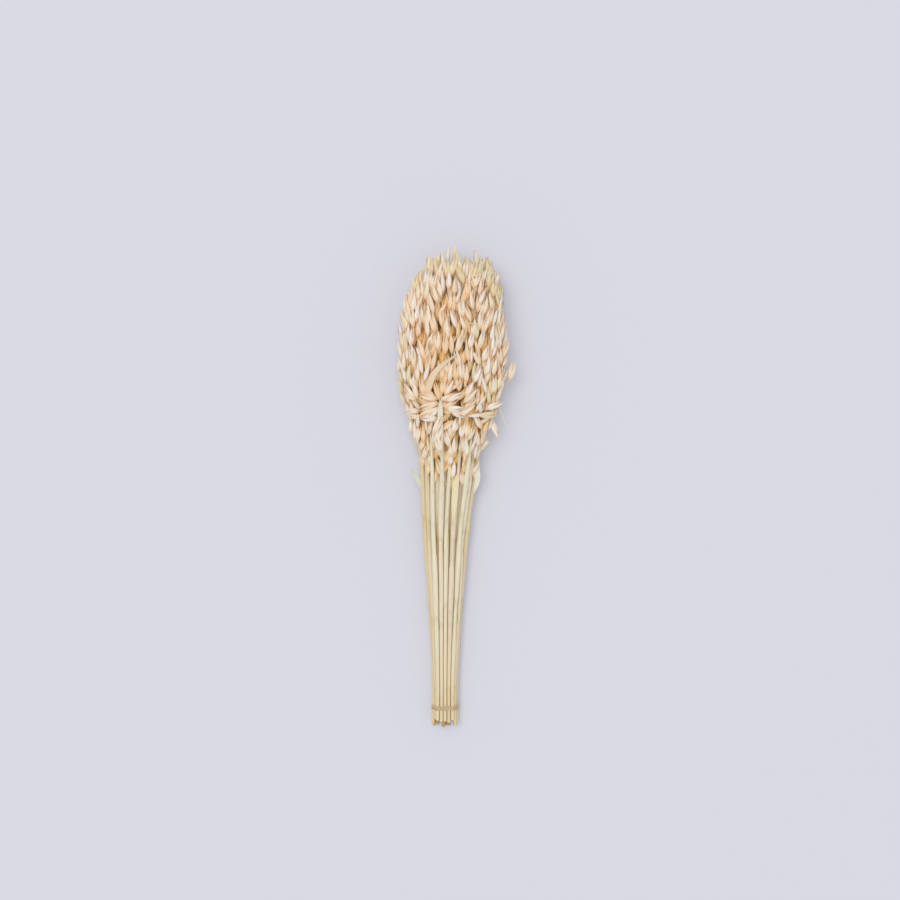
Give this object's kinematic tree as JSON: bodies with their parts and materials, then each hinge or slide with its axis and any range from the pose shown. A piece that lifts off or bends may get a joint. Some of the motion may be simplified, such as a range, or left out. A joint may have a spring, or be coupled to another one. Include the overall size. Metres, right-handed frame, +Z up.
{
  "type": "bundle of dried oats",
  "caption": "Dried oat stalks bound near their cut ends by an elastic band, lying on their side, with a full papery head of spikelets, for floral decoration.",
  "frame": {"origin": "middle of the underside of the bundle's box, on the surface that the bundle lies on", "axes": "+Y along the stems from the cut ends to the head's tips, +Z up from the surface, +X to the right seen from above"},
  "size_m": [0.1642, 0.6818, 0.0909],
  "materials": {
    "straw": "matt, papery dried straw and husk",
    "band_rubber": "matt natural rubber"
  },
  "bodies": {
    "root": {"oat_stalk_01": "straw", "oat_stalk_02": "straw", "oat_stalk_03": "straw", "oat_stalk_04": "straw", "oat_stalk_05": "straw", "oat_stalk_06": "straw", "oat_stalk_07": "straw", "oat_stalk_08": "straw", "oat_stalk_09": "straw", "oat_stalk_10": "straw", "oat_stalk_11": "straw", "oat_stalk_12": "straw", "oat_stalk_13": "straw", "oat_stalk_14": "straw", "oat_stalk_15": "straw", "oat_stalk_16": "straw", "oat_stalk_17": "straw", "oat_stalk_18": "straw", "oat_stalk_19": "straw", "oat_stalk_20": "straw", "oat_stalk_21": "straw", "oat_stalk_22": "straw", "oat_stalk_23": "straw", "oat_stalk_24": "straw", "oat_stalk_25": "straw", "oat_stalk_26": "straw", "oat_stalk_27": "straw", "oat_stalk_28": "straw", "oat_stalk_29": "straw", "band_elastic": "band_rubber"}
  },
  "joints": []
}
